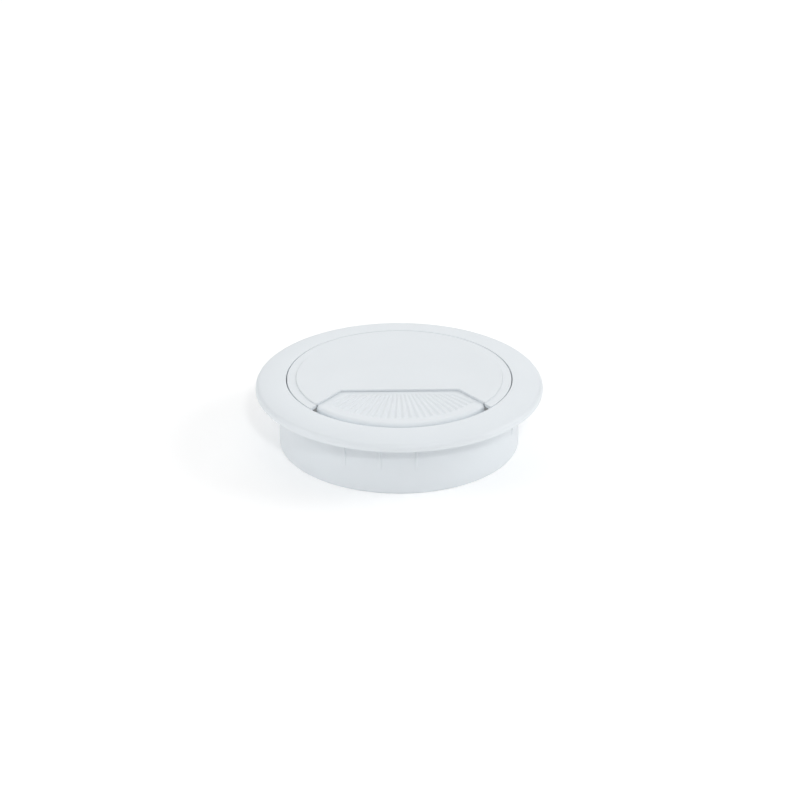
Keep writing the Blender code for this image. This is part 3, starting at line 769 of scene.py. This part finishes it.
def box_outline(low_x, low_y, high_x, high_y, reach):
    corners = [(low_x, low_y), (high_x, low_y), (high_x, high_y), (low_x, high_y)]
    return round_corners([Vector(c) for c in corners], lambda corner: reach)


def carriage():
    """The hollow block under the pad that slides in the keeper's tray."""
    bottom = SHUTTER_LOW.z
    top = PAD_TOP - CARRIAGE_DROP
    outline = box_outline(-CARRIAGE_HALF, CARRIAGE_FRONT_Y, CARRIAGE_HALF, CARRIAGE_REAR_Y, 0.5)
    wall = CARRIAGE_WALL
    layers = [(wall + 0.1, top - wall), (wall, top - wall - 0.1)]
    layers += [(wall, bottom + 0.15), (wall - 0.15, bottom)]
    layers += [(0.15, bottom), (0.0, bottom + 0.15), (0.0, top - 0.2), (0.2, top), (0.3, top)]
    return slab(outline, layers)


def peg(x, root_y, tip_y):
    """A spring peg along Y with a rounded tip."""
    sign = 1.0 if tip_y > root_y else -1.0
    stations = [(0.0, PEG_RADIUS + 0.25), (0.7, PEG_RADIUS + 0.1), (1.0, PEG_RADIUS)]
    stations += [(PEG_LENGTH - 0.4, PEG_RADIUS), (PEG_LENGTH - 0.1, PEG_RADIUS - 0.12)]
    stations += [(PEG_LENGTH, PEG_RADIUS - 0.4)]
    points = []
    sides = 28
    for along, radius in stations:
        y = root_y + sign * along * abs(tip_y - root_y) / PEG_LENGTH
        for i in range(sides):
            turn = math.tau * i / sides
            points.append((x + radius * math.cos(turn), y, SPRING_Z + radius * math.sin(turn)))
    return points, loft(sides, len(stations))


def make_shutter():
    shells = [shutter_pad(), carriage()]
    for x in (-SPRING_X, SPRING_X):
        shells.append(peg(x, CARRIAGE_REAR_Y - 0.3, CARRIAGE_REAR_Y + PEG_LENGTH))
    piece("shutter_moulding", shells, WHITE, "shutter", "sliding_shutter", slot="white_plastic", sharp=40.0)


# Inner pieces


def make_spring(name, x):
    """A compression spring with closed end turns, as a tube swept along its helix."""
    closed, tight = 1.5, 2.4 * WIRE_RADIUS
    start, end = SPRING_LOW.y + WIRE_RADIUS, SPRING_HIGH.y - WIRE_RADIUS
    coil_radius = (SPRING_HIGH.x - SPRING_LOW.x) / 2 - WIRE_RADIUS
    pitch = (end - start - 2 * closed * tight) / (SPRING_TURNS - 2 * closed)
    steps, sides = SPRING_TURNS * 28, 10
    along = Vector((0.0, 1.0, 0.0))
    points = []
    for i in range(steps + 1):
        turn = SPRING_TURNS * i / steps
        y = start + tight * min(turn, closed)
        y += pitch * min(max(turn - closed, 0.0), SPRING_TURNS - 2 * closed)
        y += tight * max(turn - (SPRING_TURNS - closed), 0.0)
        angle = math.tau * turn
        outwards = Vector((math.cos(angle), 0.0, math.sin(angle)))
        centre = Vector((x, y, SPRING_Z)) + outwards * coil_radius
        for j in range(sides):
            round_wire = math.tau * j / sides
            away = outwards * math.cos(round_wire) + along * math.sin(round_wire)
            points.append(centre + away * WIRE_RADIUS)
    shell = (points, loft(sides, steps + 1))
    spring = piece(name + "_coil", [shell], WIRE, "lid", name, slot="spring_wire", sharp=60.0)
    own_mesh(spring)


def make_ring():
    section = (RING_HIGH.z - RING_LOW.z) / 2
    centre = (RING_HIGH.x - section, (RING_LOW.z + RING_HIGH.z) / 2)
    shell = revolve(arc(centre, section, 0, -340, 17), between(0.0, 358.5, 239))
    piece("ring_seal", [shell], RUBBER, "ring", "friction_ring", slot="ring_rubber", sharp=60.0)


def make_screw(number):
    """A pan-head screw with a cross recess, seen from below."""
    name = f"keeper_screw_{number}"
    low, high = span(name)
    centre = Vector(((low.x + high.x) / 2, (low.y + high.y) / 2))
    head = (high.x - low.x) / 2
    seat = low.z + HEAD_HEIGHT
    sides = 48
    profile = [(0.35, high.z), (0.7, high.z - 0.5), (1.0, high.z - 1.3)]
    thread_turns = 7
    for i in range(thread_turns):
        z = high.z - 1.4 - i * (high.z - 1.4 - seat - 0.3) / thread_turns
        profile += [(0.98, z), (0.86, z - 0.25)]
    profile += [(1.0, seat + 0.1), (1.0, seat), (head - 0.08, seat), (head, seat - 0.08)]
    profile += [(head, seat - 0.5)]
    profile += arc((head - 0.55, seat - 0.55), 0.55, 0, -90, 5)[1:] + [(head - 0.8, low.z)]
    points = []
    for radius, z in profile:
        for i in range(sides):
            turn = math.tau * i / sides
            points.append((centre.x + radius * math.cos(turn), centre.y + radius * math.sin(turn), z))
    shell = (points, loft(sides, len(profile)))
    screw = piece(name + "_fine", [shell], STEEL, "lid", name, slot="zinc_steel")
    cut_recess(screw, centre, low.z)


def cut_recess(screw, centre, face_z):
    """Cuts a tapered cross into the screw's head."""
    bm = bmesh.new()
    for turn in (0.0, math.pi / 2):
        long, wide, depth = 1.15, 0.24, 0.7
        out = Vector((math.cos(turn), math.sin(turn), 0.0))
        side = Vector((-out.y, out.x, 0.0))
        corners = []
        for z, share in ((face_z - 0.2, 1.0), (face_z + depth, 0.55)):
            middle = Vector((centre.x, centre.y, z + turn * 0.01))
            for a, b in ((-1, -1), (1, -1), (1, 1), (-1, 1)):
                corners.append(middle + out * long * share * a + side * wide * b)
        made = [bm.verts.new(c * MM) for c in corners]
        for face in ((3, 2, 1, 0), (4, 5, 6, 7), (0, 1, 5, 4), (1, 2, 6, 5), (2, 3, 7, 6), (3, 0, 4, 7)):
            bm.faces.new([made[i] for i in face])
    bmesh.ops.recalc_face_normals(bm, faces=bm.faces)
    mesh = bpy.data.meshes.new(screw.name + "_recess")
    bm.to_mesh(mesh)
    bm.free()
    cutter = bpy.data.objects.new(mesh.name, mesh)
    bpy.context.scene.collection.objects.link(cutter)
    boolean = screw.modifiers.new("recess", "BOOLEAN")
    boolean.operation = "DIFFERENCE"
    boolean.object = cutter
    boolean.use_self = True
    bpy.context.view_layer.update()
    graph = bpy.context.evaluated_depsgraph_get()
    cut = bpy.data.meshes.new_from_object(screw.evaluated_get(graph))
    screw.modifiers.clear()
    screw.data = cut
    bpy.data.objects.remove(cutter, do_unlink=True)


def dress_keeper():
    """The CAD keeper keeps its shape, with its edges broken."""
    keeper = frame["nodes"]["shutter_keeper"]
    keeper.data.materials.clear()
    keeper.data.materials.append(NATURAL)
    bevel = keeper.modifiers.new("broken_edges", "BEVEL")
    bevel.width = 0.18 * MM
    bevel.segments = 2
    bevel.limit_method = "ANGLE"
    bevel.angle_limit = math.radians(50)


add_camera()
add_floor()
add_studio()
make_sleeve()
make_lid()
make_shutter()
for spring_name, spring_x in (("left_spring", -SPRING_X), ("right_spring", SPRING_X)):
    make_spring(spring_name, spring_x)
make_ring()
for screw_number in range(1, 5):
    make_screw(screw_number)
dress_keeper()
